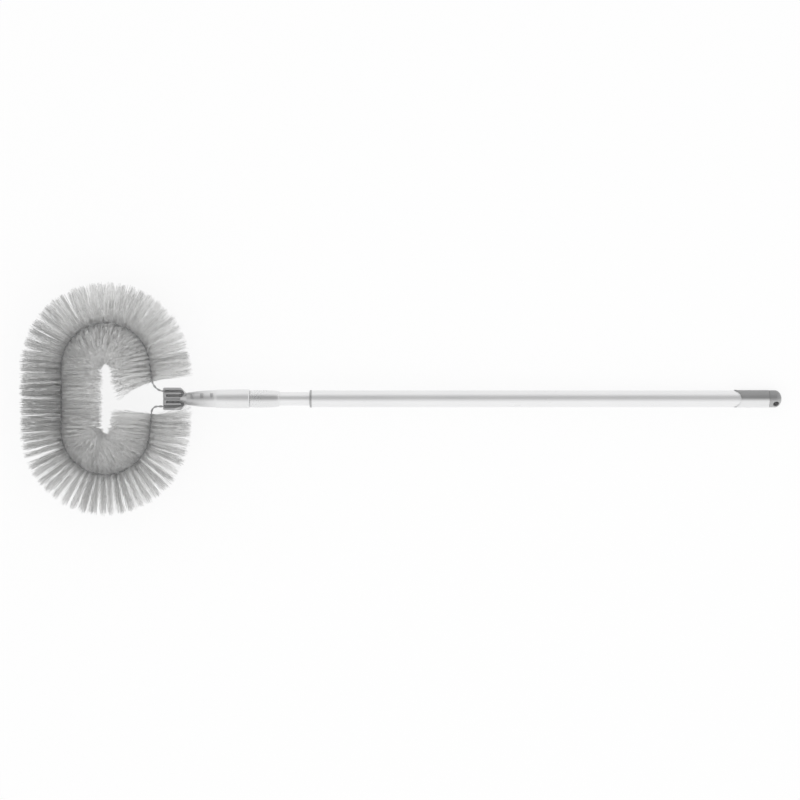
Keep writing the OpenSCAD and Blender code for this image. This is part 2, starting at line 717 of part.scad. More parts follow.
// One section of the bristles, fused to its slice of the backing
module bristles(section) {
    first = (section - 1) * section_steps;
    n = bristle_sides;
    rings = section_steps + 1;
    ring_s = [for (k = [0 : section_steps]) step_len * (first + k)
        + (k == 0 ? section_gap : k == section_steps ? -section_gap : 0)];
    ring_points = [for (r = [backing_r, backing_bore_r], k = [0 : section_steps], j = [0 : n - 1])
        beside(ring_s[k], r, side_angle * (j - 0.5))];
    strand_points = [for (k = [0 : section_steps - 1], j = [0 : n - 1])
        each bristle_points(first + k, j, ring_s[k], ring_s[k + 1])];
    function out(k, j) = k * n + j % n;
    function bore(k, j) = rings * n + k * n + j % n;
    function root(k, j) = 2 * rings * n + 6 * (k * n + j);
    skin = [for (k = [0 : section_steps - 1], j = [0 : n - 1]) let (
            a = out(k, j), b = out(k, j + 1), c = out(k + 1, j + 1), d = out(k + 1, j),
            p = root(k, j)
        ) each [[a, d, p + 2], [d, p, p + 2], [d, c, p], [c, b, p + 1], [c, p + 1, p],
            [b, a, p + 2], [b, p + 2, p + 1]]];
    strands = [for (k = [0 : section_steps - 1], j = [0 : n - 1]) let (p = root(k, j))
        each concat(
            [for (i = [0 : 2]) each [[p + i, p + (i + 1) % 3, p + 3 + (i + 1) % 3],
                [p + i, p + 3 + (i + 1) % 3, p + 3 + i]]],
            [[p + 3, p + 4, p + 5]]
        )];
    lining = [for (k = [0 : section_steps - 1], j = [0 : n - 1]) each [
        [bore(k, j), bore(k, j + 1), bore(k + 1, j + 1)],
        [bore(k, j), bore(k + 1, j + 1), bore(k + 1, j)]]];
    ends = [for (j = [0 : n - 1]) each [
        [out(0, j), out(0, j + 1), bore(0, j + 1)], [out(0, j), bore(0, j + 1), bore(0, j)],
        [out(rings - 1, j + 1), out(rings - 1, j), bore(rings - 1, j)],
        [out(rings - 1, j + 1), bore(rings - 1, j), bore(rings - 1, j + 1)]]];
    faces = [for (f = concat(skin, strands, lining, ends)) [f[2], f[1], f[0]]];
    color(bristle_colour) polyhedron(concat(ring_points, strand_points), faces);
}

outer_tube();
mouth_collar();
end_grip();
hanger_cap();
inner_tube();
pole_cone();
lock_spindle();
spindle_pin();
spindle_stop();
lock_sleeve();
wedge_nut();
brush_socket();
wire_loop();
for (i = [1 : bristle_sections])
    bristles(i);
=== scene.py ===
"""Cobweb brush on a telescopic pole: filaments, twisted wire, finishes and a plain studio."""

import logging
import math
from dataclasses import dataclass, field
from enum import Enum
from typing import Any

import bpy
import numpy as np
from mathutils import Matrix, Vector


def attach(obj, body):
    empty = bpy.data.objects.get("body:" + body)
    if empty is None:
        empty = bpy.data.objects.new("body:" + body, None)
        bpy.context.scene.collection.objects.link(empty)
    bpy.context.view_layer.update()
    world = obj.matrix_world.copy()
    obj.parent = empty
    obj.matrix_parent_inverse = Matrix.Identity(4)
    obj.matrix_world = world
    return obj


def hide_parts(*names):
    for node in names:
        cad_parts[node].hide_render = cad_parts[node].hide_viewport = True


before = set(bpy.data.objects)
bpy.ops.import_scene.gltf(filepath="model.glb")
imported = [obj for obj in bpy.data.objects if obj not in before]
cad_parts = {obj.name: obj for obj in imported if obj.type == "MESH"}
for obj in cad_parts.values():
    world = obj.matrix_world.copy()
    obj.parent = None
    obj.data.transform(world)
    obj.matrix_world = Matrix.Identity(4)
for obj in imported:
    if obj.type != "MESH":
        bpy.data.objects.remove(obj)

LOG = logging.getLogger("cobweb_brush")
MM = 0.001
WHITE = (1.0, 1.0, 1.0, 1.0)
Colour = tuple[float, float, float]


class Body(Enum):
    """The moving bodies that pieces ride on."""

    POLE = "pole"
    EXPANDER = "expander"
    WEDGE = "wedge"
    INNER_POLE = "inner_pole"
    BRUSH_HEAD = "brush_head"


class Side(Enum):
    """The two sides of the pole that lamps stand on."""

    LOWER = -1.0
    UPPER = 1.0


class Signal:
    """One output of a node, with arithmetic that adds Math nodes behind it."""

    def __init__(self, graph: "Graph", node: bpy.types.Node, socket: bpy.types.NodeSocket) -> None:
        """Keeps the graph, the node and the output that later nodes link to.

        Args:
            graph: The graph that the node is in.
            node: The node.
            socket: Its output.
        """
        self.graph = graph
        self.node = node
        self.socket = socket

    def out(self, name: str) -> "Signal":
        """Picks another output of the same node.

        Args:
            name: The output's name.

        Returns:
            The signal of that output.
        """
        return Signal(self.graph, self.node, pick(self.node.outputs, name))

    def math(self, operation: str, *others: Any, swap: bool = False) -> "Signal":
        """Adds a Math node.

        Args:
            operation: The Math node's operation.
            others: The other values or signals.
            swap: Puts this signal second, as a reflected operator needs.

        Returns:
            The result's signal.
        """
        terms = [self, *others]
        if swap:
            terms.reverse()
        return self.graph.add(
            "ShaderNodeMath", {"operation": operation}, dict(enumerate(terms))
        )

    def __add__(self, other: Any) -> "Signal":
        """Adds."""
        return self.math("ADD", other)

    __radd__ = __add__

    def __sub__(self, other: Any) -> "Signal":
        """Subtracts."""
        return self.math("SUBTRACT", other)

    def __rsub__(self, other: Any) -> "Signal":
        """Subtracts this signal from the other value."""
        return self.math("SUBTRACT", other, swap=True)

    def __mul__(self, other: Any) -> "Signal":
        """Multiplies."""
        return self.math("MULTIPLY", other)

    __rmul__ = __mul__

    def __truediv__(self, other: Any) -> "Signal":
        """Divides."""
        return self.math("DIVIDE", other)

    def __pow__(self, other: Any) -> "Signal":
        """Raises to a power."""
        return self.math("POWER", other)

    def scaled(self, factor: Any) -> "Signal":
        """Scales this vector.

        Args:
            factor: The factor, a value or a signal.

        Returns:
            The scaled vector's signal.
        """
        return self.graph.add(
            "ShaderNodeVectorMath", {"operation": "SCALE"}, {"Vector": self, "Scale": factor}
        )

    def held_in(self, low: float, high: float) -> "Signal":
        """Keeps this value between two limits.

        Args:
            low: The least value.
            high: The greatest value.

        Returns:
            The limited value's signal.
        """
        return self.math("MAXIMUM", low).math("MINIMUM", high)

    def dot(self, way: tuple[float, float, float]) -> "Signal":
        """Measures this vector along a direction.

        Args:
            way: The direction, of length 1.

        Returns:
            The length along it.
        """
        return self.graph.add(
            "ShaderNodeVectorMath", {"operation": "DOT_PRODUCT"}, {0: self, 1: way}
        ).out("Value")

    def plus(self, other: "Signal") -> "Signal":
        """Adds another vector.

        Args:
            other: The other vector's signal.

        Returns:
            The sum's signal.
        """
        return self.graph.add("ShaderNodeVectorMath", {"operation": "ADD"}, {0: self, 1: other})


def pick(sockets: Any, name: str) -> bpy.types.NodeSocket:
    """Finds the enabled socket of a name.

    Args:
        sockets: A node's inputs or outputs.
        name: The socket's name.

    Returns:
        The socket.
    """
    return next(s for s in sockets if s.name == name and s.enabled)


def put(name: str, data: Any) -> bpy.types.Object:
    """Puts a mesh, a lamp or a camera into the scene.

    Args:
        name: The object's name.
        data: What the object shows.

    Returns:
        The new object.
    """
    made = bpy.data.objects.new(name, data)
    bpy.context.scene.collection.objects.link(made)
    return made


class Graph:
    """A node tree, for a material, the world or a Geometry Nodes modifier."""

    def __init__(self, tree: bpy.types.NodeTree) -> None:
        """Keeps the tree that nodes are added to."""
        self.tree = tree

    def add(
        self,
        kind: str,
        settings: dict[str, Any] | None = None,
        inputs: dict[Any, Any] | None = None,
    ) -> Signal:
        """Adds a node.

        Args:
            kind: The node's type.
            settings: Its settings, which are set first. The setting stops fills a colour ramp.
            inputs: Values or signals by the socket's name or number.

        Returns:
            The signal of the node's first enabled output.
        """
        node = self.tree.nodes.new(kind)
        for name, value in (settings or {}).items():
            if name == "stops":
                ramp = node.color_ramp.elements
                while len(ramp) < len(value):
                    ramp.new(1.0)
                for element, (position, shade) in zip(ramp, value):
                    element.position = position
                    element.color = (shade, shade, shade, 1.0)
            else:
                setattr(node, name, value)
        for key, value in (inputs or {}).items():
            socket = node.inputs[key] if isinstance(key, int) else pick(node.inputs, key)
            if isinstance(value, Signal):
                self.tree.links.new(value.socket, socket)
            else:
                socket.default_value = value
        shown = [s for s in node.outputs if s.enabled]
        return Signal(self, node, shown[0] if shown else None)

    def place(self) -> Signal:
        """Gives the object's own coordinates."""
        return self.add("ShaderNodeTexCoord").out("Object")

    def part(self, vector: Signal, axis: str) -> Signal:
        """Takes one number out of a vector.

        Args:
            vector: The vector's signal.
            axis: X, Y or Z.

        Returns:
            The number's signal.
        """
        return self.add("ShaderNodeSeparateXYZ", {}, {"Vector": vector}).out(axis)

    def luck(self, key: Signal) -> Signal:
        """Gives an even random number for each value of a key.

        Args:
            key: The key's signal.

        Returns:
            The random number's signal, from 0 to 1.
        """
        return self.add("ShaderNodeTexWhiteNoise", {"noise_dimensions": "1D"}, {"W": key})

    def noise(self, where: Signal, scale: float) -> Signal:
        """Adds a noise texture.

        Args:
            where: The coordinates.
            scale: The noise's scale, in 1/m.

        Returns:
            The noise's value, around 0.5.
        """
        return self.add(
            "ShaderNodeTexNoise", {},
            {"Vector": where, "Scale": scale, "Detail": 3.0, "Roughness": 0.55},
        )

    def blend(self, factor: Signal, low: Colour, high: Colour) -> Signal:
        """Mixes two colours.

        Args:
            factor: 0 gives the low colour and 1 the high one.
            low: A colour.
            high: A colour.

        Returns:
            The mixed colour.
        """
        mixed = self.add("ShaderNodeMix", {"data_type": "RGBA"}, {"Factor": factor})
        pick(mixed.node.inputs, "A").default_value = (*low, 1.0)
        pick(mixed.node.inputs, "B").default_value = (*high, 1.0)
        return mixed.out("Result")


@dataclass(frozen=True)
class Finish:
    """A finish: a plain shader with fine variation of colour, roughness and surface."""

    name: str
    low: Colour
    high: Colour
    roughness: float
    metallic: float = 0.0
    grain: float = 900.0
    stretch: Colour = (1.0, 1.0, 1.0)
    mottle: float = 60.0
    rough_swing: float = 0.08
    bump: float = 0.05
    bump_depth: float = 0.05 * MM
    sheen: float = 0.0

    def tone(self, graph: Graph) -> Signal:
        """Gives what varies the colour, from 0 to 1.

        Args:
            graph: The material's graph.

        Returns:
            The factor between the low and the high colour.
        """
        return graph.noise(graph.place(), self.mottle)

    def material(self) -> bpy.types.Material:
        """Builds the material.

        Returns:
            The finished material.
        """
        made = bpy.data.materials.new(self.name)
        made.use_nodes = True
        graph = Graph(made.node_tree)
        shader = next(n for n in made.node_tree.nodes if n.type == "BSDF_PRINCIPLED")
        shader.inputs["Metallic"].default_value = self.metallic
        shader.inputs["Sheen Weight"].default_value = self.sheen
        links = made.node_tree.links
        links.new(graph.blend(self.tone(graph), self.low, self.high).socket,
                  shader.inputs["Base Color"])
        drawn = graph.add(
            "ShaderNodeMapping", {}, {"Vector": graph.place(), "Scale": self.stretch}
        )
        fine = graph.noise(drawn, self.grain)
        broad = graph.noise(graph.place(), self.mottle / 2)
        rough = (fine + broad - 1.0) * self.rough_swing + self.roughness
        links.new(rough.socket, shader.inputs["Roughness"])
        bump = graph.add(
            "ShaderNodeBump", {},
            {"Strength": self.bump, "Distance": self.bump_depth, "Height": fine},
        )
        links.new(bump.socket, shader.inputs["Normal"])
        return made


@dataclass(frozen=True)
class FilamentFinish(Finish):
    """A finish whose tone is the shade that each filament carries: random tone with painted light
    and shade.
    """

    def tone(self, graph: Graph) -> Signal:
        """Reads the filament's shade, random tone with painted light and shade.

        Args:
            graph: The material's graph.

        Returns:
            The factor between the low and the high colour.
        """
        return graph.add("ShaderNodeAttribute", {"attribute_name": "shade"}).out("Fac")


@dataclass(frozen=True)
class SocketFinish(Finish):
    """A finish that is darker on the crown than on the rear sleeve, with painted shade on the
    thumb ribs.
    """

    neck_x: float = -858 * MM
    sleeve_x: float = -829 * MM
    crown_tone: float = 0.3
    sleeve_tone: float = 0.55
    mottle_depth: float = 0.15
    rib_x: float = -837.1 * MM
    rib_pitch: float = 14.5 * MM
    rib_turn: float = 22.0
    rib_painted_shade: float = 0.9
    last_rib: float = 2.0
    half_len: float = 1.8 * MM
    half_width: float = 2.8 * MM
    least_height: float = 9 * MM
    softness: float = 1.6

    def ribs(self, graph: Graph, place: Signal) -> Signal:
        """Finds the thumb ribs on both sides of the neck, where their shade is painted.

        Args:
            graph: The material's graph.
            place: The object's own coordinates.

        Returns:
            1 on the ribs, fading to 0 beside them.
        """
        count = (graph.part(place, "X") * -1.0 + self.rib_x) * (1 / self.rib_pitch)
        nearest = count.math("ROUND").held_in(0.0, self.last_rib)
        off = (count - nearest).math("ABSOLUTE")
        along = self.softness - off * (self.rib_pitch / self.half_len)
        turn = math.radians(self.rib_turn)
        facing = place.dot((0.0, math.sin(turn), math.cos(turn)))
        beside = place.dot((0.0, math.cos(turn), -math.sin(turn)))
        on_top = facing.math("ABSOLUTE").math("GREATER_THAN", self.least_height)
        around = self.softness - beside.math("ABSOLUTE") * (1 / self.half_width)
        return along.math("MINIMUM", around).held_in(0.0, 1.0) * on_top

    def tone(self, graph: Graph) -> Signal:
        """Shades the socket along its length, and paints shade on the thumb ribs.

        Args:
            graph: The material's graph.

        Returns:
            The factor between the crown's colour and the sleeve's.
        """
        place = graph.place()
        reach = (graph.part(place, "X") - self.neck_x) * (1 / (self.sleeve_x - self.neck_x))
        mottle = (graph.noise(place, self.mottle) - 0.5) * self.mottle_depth
        plain = reach.held_in(0.0, 1.0) * self.sleeve_tone + self.crown_tone + mottle
        # Painted shade: the thumb ribs are darkened in colour.
        return plain - self.ribs(graph, place) * self.rib_painted_shade


@dataclass(frozen=True)
class PaintedLightFinish(Finish):
    """A finish with painted light: a darker painted shade on its upper (+Y) half and a paler
    painted highlight on its lower (-Y) half, which meet along the pole.
    """

    meet_y: float = -1 * MM
    fade: float = 5 * MM
    least: float = 0.05
    mottle_depth: float = 0.12

    def tone(self, graph: Graph) -> Signal:
        """Paints light across the piece: painted shade on the +Y half fading to a painted
        highlight on the -Y half, the side of the lower lamp.

        Args:
            graph: The material's graph.

        Returns:
            The factor between the low and the high colour.
        """
        place = graph.place()
        # Painted highlight and shade: the colour grows paler towards -Y, across the line at
        # meet_y.
        pale = (self.meet_y - graph.part(place, "Y")) * (1 / self.fade) + 0.5
        mottle = (graph.noise(place, self.mottle) - 0.5) * self.mottle_depth
        return pale.held_in(self.least, 1.0 - self.least) + mottle


FINISHES: dict[str, Finish] = {
    finish.name: finish
    for finish in (
        Finish("tube_aluminium", (0.82, 0.82, 0.825), (0.88, 0.88, 0.883), 0.30, 0.62,
               grain=1400.0, stretch=(0.02, 1.0, 1.0), mottle=9.0, rough_swing=0.10,
               bump=0.10, bump_depth=0.03 * MM),
        SocketFinish("socket_plastic", (0.48, 0.48, 0.483), (0.88, 0.88, 0.883), 0.30, 0.65),
        Finish("cone_plastic", (0.76, 0.76, 0.763), (0.84, 0.84, 0.843), 0.28, 0.85, bump=0.01),
        Finish("collar_plastic", (0.40, 0.40, 0.403), (0.48, 0.48, 0.483), 0.34, 0.6),
        # The grip and the cap carry painted light: shade painted on their upper half, a highlight
        # painted on their lower half.
        PaintedLightFinish("grip_plastic", (0.27, 0.27, 0.272), (0.82, 0.82, 0.823), 0.32, 0.3,
                      grain=2200.0, bump=0.18),
        PaintedLightFinish("cap_plastic", (0.27, 0.27, 0.272), (0.46, 0.46, 0.463), 0.34, 0.3,
                      grain=2200.0, bump=0.2),
        Finish("lock_plastic", (0.05, 0.05, 0.052), (0.08, 0.08, 0.082), 0.4),
        Finish("steel", (0.50, 0.50, 0.51), (0.60, 0.60, 0.61), 0.34, 1.0),
        Finish("brush_wire", (0.46, 0.46, 0.465), (0.66, 0.66, 0.665), 0.38, 0.7,
               grain=1600.0, mottle=260.0, bump=0.15),
        FilamentFinish("bristle", (0.52, 0.52, 0.515), (0.99, 0.99, 0.982), 0.5,
                       grain=500.0, bump=0.02, sheen=0.7),
    )
}


@dataclass
class WireRoute:
    """The wire's route from hook to hook, as part.scad lays it, in metres and degrees."""

    hook_x: float = -884.3 * MM
    hook_r: float = 3.3 * MM
    hook_return: float = 21 * MM
    tail_y: float = 11.3 * MM
    upper_bend_x: float = -908.6 * MM
    upper_bend_r: float = 18.5 * MM
    upper_lean: float = 8.0
    loop_x: float = -996.334 * MM
    loop_r: float = 66 * MM
    half_straight: float = 46.9 * MM
    lower_lean: float = 5.0
    lower_bend_x: float = -918.72 * MM
    lower_bend_r: float = 9 * MM
    start_lean: float = 14.0
    end_gap: float = 3 * MM
    step: float = 0.4 * MM
    points: np.ndarray = field(init=False)
    runs: np.ndarray = field(init=False)
    brush_start: float = field(init=False)
    brush_len: float = field(init=False)

    def arc(self, centre: tuple[float, float], r: float, start: float, stop: float) -> np.ndarray:
        """Gives points along an arc.

        Args:
            centre: The arc's centre.
            r: Its radius.
            start: The first angle.
            stop: The last angle.

        Returns:
            Points as rows of x and y.
        """
        count = max(6, int(math.radians(abs(stop - start)) * r / self.step))
        turn = np.radians(np.linspace(start, stop, count))
        return np.stack([centre[0] + r * np.cos(turn), centre[1] + r * np.sin(turn)], axis=1)

    def __post_init__(self) -> None:
        """Lays the route and finds the stretch that carries filaments."""
        end_x = self.hook_x - self.hook_return
        end_y = self.tail_y - 2 * self.hook_r
        hook_y = self.tail_y - self.hook_r
        upper_y = self.tail_y + self.upper_bend_r
        lower_y = -self.tail_y - self.lower_bend_r
        parts = [
            np.array([[end_x, end_y]]),
            self.arc((self.hook_x, hook_y), self.hook_r, -90, 90),
            self.arc((self.upper_bend_x, upper_y), self.upper_bend_r, 270, 180 + self.start_lean),
            self.arc((self.upper_bend_x, upper_y), self.upper_bend_r, 180 + self.start_lean,
                     180 + self.upper_lean),
            self.arc((self.loop_x, self.half_straight), self.loop_r, self.upper_lean, 180),
            self.arc((self.loop_x, -self.half_straight), self.loop_r, 180, 360 - self.lower_lean),
            self.arc((self.lower_bend_x, lower_y), self.lower_bend_r, 180 - self.lower_lean, 90),
            self.arc((self.hook_x, -hook_y), self.hook_r, -90, 90),
            np.array([[end_x, -end_y]]),
        ]
        self.points = np.concatenate(parts)
        steps = np.linalg.norm(np.diff(self.points, axis=0), axis=1)
        self.runs = np.concatenate([[0], np.cumsum(steps)])
        before = sum(len(p) for p in parts[:3])
        carried = sum(len(p) for p in parts[:6])
        self.brush_start = float(self.runs[before])
        self.brush_len = float(self.runs[carried] - self.end_gap - self.brush_start)

    def stretch(self, start: float, stop: float, count: int) -> tuple[np.ndarray, np.ndarray]:
        """Gives even points along a stretch of the wire.

        Args:
            start: The distance from the wire's end to the stretch.
            stop: The distance to the stretch's end.
            count: The number of points.

        Returns:
            Points as rows of x, y and z, and their distances from the wire's end.
        """
        runs = np.linspace(start, stop, count)
        flat = [np.interp(runs, self.runs, self.points[:, k]) for k in (0, 1)]
        return np.stack([*flat, np.zeros(count)], axis=1), runs

    def line(
        self, name: str, points: np.ndarray, values: dict[str, np.ndarray]
    ) -> bpy.types.Object:
        """Makes an object of one open line.

        Args:
            name: The object's name.
            points: The line's points.
            values: Values at the points, by the attribute's name.

        Returns:
            The line's object.
        """
        mesh = bpy.data.meshes.new(name)
        count = len(points)
        mesh.from_pydata(points.tolist(), [(k, k + 1) for k in range(count - 1)], [])
        for label, column in values.items():
            held = mesh.attributes.new(label, "FLOAT", "POINT")
            held.data.foreach_set("value", column.astype(np.float32))
        return put(name, mesh)


@dataclass
class Tree:
    """A Geometry Nodes tree with named inputs."""

    name: str
    sizes: dict[str, float | int]
    graph: Graph = field(init=False)
    given: Signal = field(init=False)
    idents: dict[str, str] = field(init=False)

    def __post_init__(self) -> None:
        """Makes the tree and its inputs."""
        tree = bpy.data.node_groups.new(self.name, "GeometryNodeTree")
        tree.interface.new_socket("Result", in_out="OUTPUT", socket_type="NodeSocketGeometry")
        tree.interface.new_socket("Wire", in_out="INPUT", socket_type="NodeSocketGeometry")
        for name, value in self.sizes.items():
            kind = "NodeSocketInt" if isinstance(value, int) else "NodeSocketFloat"
            tree.interface.new_socket(name, in_out="INPUT", socket_type=kind).default_value = value
        tree.interface.new_socket("Finish", in_out="INPUT", socket_type="NodeSocketMaterial")
        self.idents = {
            item.name: item.identifier for item in tree.interface.items_tree
            if item.in_out == "INPUT"
        }
        self.graph = Graph(tree)
        self.given = self.graph.add("NodeGroupInput")

    def close(self, mesh: Signal) -> None:
        """Smooths, realises and dresses the mesh, and ends the tree.

        Args:
            mesh: The mesh's signal.
        """
        smooth = self.graph.add("GeometryNodeSetShadeSmooth", {}, {"Geometry": mesh})
        real = self.graph.add("GeometryNodeRealizeInstances", {}, {"Geometry": smooth})
        dressed = self.graph.add(
            "GeometryNodeSetMaterial", {}, {"Geometry": real, "Material": self.given.out("Finish")}
        )
        self.graph.add("NodeGroupOutput", {}, {"Result": dressed})

    def grow(self, line: bpy.types.Object, name: str, values: dict[str, Any]) -> bpy.types.Object:
        """Runs the tree on a line and keeps the result as a plain mesh.

        Args:
            line: The object of one open line, which is used up.
            name: The new piece's name.
            values: The inputs' values by name.

        Returns:
            The piece.
        """
        modifier = line.modifiers.new(self.name, "NODES")
        modifier.node_group = self.graph.tree
        for label, value in values.items():
            modifier[self.idents[label]] = value
        seen = line.evaluated_get(bpy.context.evaluated_depsgraph_get())
        mesh = bpy.data.meshes.new_from_object(seen)
        mesh.name = name
        kept = {"position", "shade", "sharp_face", "material_index"}
        for label in [a.name for a in mesh.attributes]:
            if label not in kept and not label.startswith("."):
                mesh.attributes.remove(mesh.attributes[label])
        piece = put(name, mesh)
        line.modifiers.clear()
        bpy.data.objects.remove(line)
        return piece


@dataclass(frozen=True)
class Stop:
    """What the filaments do at one place of the brush; between two stops it fades over."""

    share: float
    gather: float
    loose: float
    # tone: painted light and shade, paler or darker at this place of the brush.
    tone: float


@dataclass(frozen=True)
class Parting:
    """A place where outer filaments are shoved apart."""

    run: float
    depth: float
    width: float


@dataclass
class Filaments:
    """The filaments, in sections along the wire."""

    route: WireRoute
    sections: int = 14
    per_section: int = 1300
    half_turn: float = 8 * MM
    outer_reach: float = 60 * MM
    inner_reach: float = 59 * MM
    rest_depth: float = 59.5 * MM
    spread: float = 0.08
    root_radius: float = 0.10 * MM
    tip_radius: float = 0.23 * MM
    scatter: float = 0.95
    bias: float = 0.22
    jitter: float = 1.8 * MM
    curl: float = 2.4 * MM
    inner_curl: float = 0.6
    bend: float = 1.6
    gather_most: float = 2.4
    outer_pull: float = 1.8
    inner_pull: float = 0.5
    drift_share: float = 0.5
    stray_most: float = 2.0
    stray_least: float = 0.3
    streaks: float = 5.0
    own_tone: float = 0.3
    tuft_tone: float = 0.2
    streak_tone: float = 1.1
    base_tone: float = 0.02
    inner_painted_light: float = 1.15
    root_painted_light: float = 0.5
    end_reach: float = 8 * MM
    start_leans: tuple[float, float] = (-0.02, -0.13)
    stop_leans: tuple[float, float] = (0.22, -0.04)
    line_points: int = 120
    strand_points: int = 5
    facets: int = 3
    seed: int = 1000
    seed_step: int = 20
    # The tone column paints light and shade along the brush: paler on the top stretch and at the
    # two ends, darker round the far end of the loop.
    stops: tuple[Stop, ...] = (
        Stop(0.00, 0.06, 0.78, 0.50), Stop(0.10, 0.10, 0.80, 0.52), Stop(0.18, 0.24, 0.82, 0.52),
        Stop(0.30, 0.22, 0.86, 0.48), Stop(0.40, 0.16, 1.00, -0.15),
        Stop(0.54, 0.16, 1.00, -0.45), Stop(0.59, 0.42, 0.70, -0.05),
        Stop(0.67, 0.52, 0.66, 0.02), Stop(0.75, 0.36, 0.76, 0.00), Stop(0.86, 0.14, 0.82, 0.10),
        Stop(0.92, 0.06, 0.78, 0.30), Stop(1.00, 0.04, 0.76, 0.30),
    )
    partings: tuple[Parting, ...] = (
        Parting(159 * MM, 5 * MM, 6 * MM), Parting(275 * MM, 3 * MM, 4 * MM),
    )

    def tree(self) -> Tree:
        """Builds the tree that grows filaments out of a stretch of wire.

        Returns:
            The finished tree.
        """
        made = Tree("filament_fan", {
            "Filaments": self.per_section, "Half Turn": self.half_turn,
            "Outer Reach": self.outer_reach, "Inner Reach": self.inner_reach,
            "Rest Depth": self.rest_depth, "Spread": self.spread,
            "Root Radius": self.root_radius, "Tip Radius": self.tip_radius,
            "Scatter": self.scatter, "Bias": self.bias, "Jitter": self.jitter,
            "Curl": self.curl, "Root Painted Light": self.root_painted_light, "Seed": self.seed,
        })
        graph, given = made.graph, made.given

        def held(name: str, kind: str = "FLOAT") -> Signal:
            """Reads an attribute that the points carry.

            Args:
                name: The attribute's name.
                kind: Its data type.

            Returns:
                The attribute's signal.
            """
            return graph.add(
                "GeometryNodeInputNamedAttribute", {"data_type": kind}, {"Name": name}
            )

        def draw(number: int, low: float, high: float) -> Signal:
            """Draws an even random number for each filament.

            Args:
                number: What tells this draw from the others.
                low: The least number.
                high: The greatest number.

            Returns:
                The number's signal.
            """
            return graph.add(
                "FunctionNodeRandomValue", {"data_type": "FLOAT"},
                {"Min": low, "Max": high, "Seed": given.out("Seed") + number},
            )

        def join(x: Any, y: Any, z: Any) -> Signal:
            """Joins three numbers to a vector."""
            return graph.add("ShaderNodeCombineXYZ", {}, {"X": x, "Y": y, "Z": z})

        curve = graph.add("GeometryNodeMeshToCurve", {}, {"Mesh": given.out("Wire")})
        points = graph.add(
            "GeometryNodeCurveToPoints", {"mode": "COUNT"},
            {"Curve": curve, "Count": given.out("Filaments")},
        )
        along = points.out("Tangent")
        turn = held("run") / given.out("Half Turn")
        tuft = turn.math("ROUND")
        off = turn - tuft
        side = draw(1, 0.0, 1.0).math("ROUND")
        angle = (turn + side) * math.pi
        loose = held("loose") * given.out("Scatter")
        angle = angle + (draw(2, -1.0, 1.0) + draw(3, -1.0, 1.0)) * loose
        angle = angle - (angle * 2.0).math("SINE") * given.out("Bias")
        outward, upward = angle.math("COSINE"), angle.math("SINE")
        outer, inner = outward.math("MAXIMUM", 0.0), (outward * -1.0).math("MAXIMUM", 0.0)
        short = 1.0 - draw(4, 0.0, 1.0) ** 2.0 * given.out("Spread")
        reach = (given.out("Outer Reach")
                 - (given.out("Outer Reach") - given.out("Inner Reach")) * inner) * short
        floor_reach = given.out("Rest Depth") / (upward * -1.0).math("MAXIMUM", 0.001)
        reach = reach.math("MINIMUM", floor_reach)
        aim = join(
            graph.part(along, "Y") * outward * reach,
            graph.part(along, "X") * outward * reach * -1.0,
            upward * reach,
        )
        luck, drift = graph.luck(tuft), graph.luck(tuft + 0.5)
        gather = held("gather") * (luck ** 2.0 * self.gather_most)
        pull = off * given.out("Half Turn") * gather * -1.0
        pull = pull * (outer * self.outer_pull + inner * self.inner_pull)
        wander = (drift - 0.5) * outer * given.out("Half Turn") * self.drift_share
        stray = draw(10, 0.0, 1.0) ** 2.0 * self.stray_most + self.stray_least
        lean = (held("lean_out") * outer + held("lean_in") * inner) * reach * stray
        tip = (pull + wander + lean + held("shove") * outer
               + draw(5, -1.0, 1.0) * given.out("Jitter"))
        curl = join(draw(6, -1.0, 1.0), draw(7, -1.0, 1.0), draw(8, -1.0, 1.0))
        curl = curl.scaled(given.out("Curl") * (inner * self.inner_curl + 1.0))
        sway = along.scaled(tip).plus(curl)
        streak = graph.luck((turn * self.streaks).math("ROUND"))
        shade = (draw(9, 0.0, 1.0) * self.own_tone + luck * self.tuft_tone
                 # held tone is painted light and shade along the brush.
                 + streak * self.streak_tone + self.base_tone + held("tone")
                 # Painted light: the inner filaments are painted paler, against the shade that
                 # falls among them.
                 + inner * self.inner_painted_light)
        fields = {
            "root": (graph.add("GeometryNodeInputPosition"), "FLOAT_VECTOR"),
            "aim": (aim, "FLOAT_VECTOR"), "sway": (sway, "FLOAT_VECTOR"),
            "shade": (shade, "FLOAT"),
        }
        held_points = points
        for name, (value, kind) in fields.items():
            held_points = graph.add(
                "GeometryNodeStoreNamedAttribute", {"data_type": kind, "domain": "POINT"},
                {"Geometry": held_points, "Name": name, "Value": value},
            )
        line = graph.add("GeometryNodeCurvePrimitiveLine", {}, {"End": (0.0, 0.0, 1.0)})
        line = graph.add(
            "GeometryNodeResampleCurve", {}, {"Curve": line, "Count": self.strand_points}
        )
        strands = graph.add(
            "GeometryNodeInstanceOnPoints", {}, {"Points": held_points, "Instance": line}
        )
        strands = graph.add("GeometryNodeRealizeInstances", {}, {"Geometry": strands})
        share = graph.add("GeometryNodeSplineParameter").out("Factor")
        place = held("root", "FLOAT_VECTOR").plus(held("aim", "FLOAT_VECTOR").scaled(share))
        place = place.plus(held("sway", "FLOAT_VECTOR").scaled(share ** self.bend))
        rest = (given.out("Rest Depth") - given.out("Tip Radius")) * -1.0
        place = join(
            graph.part(place, "X"), graph.part(place, "Y"),
            graph.part(place, "Z").math("MAXIMUM", rest),
        )
        strands = graph.add(
            "GeometryNodeSetPosition", {}, {"Geometry": strands, "Position": place}
        )
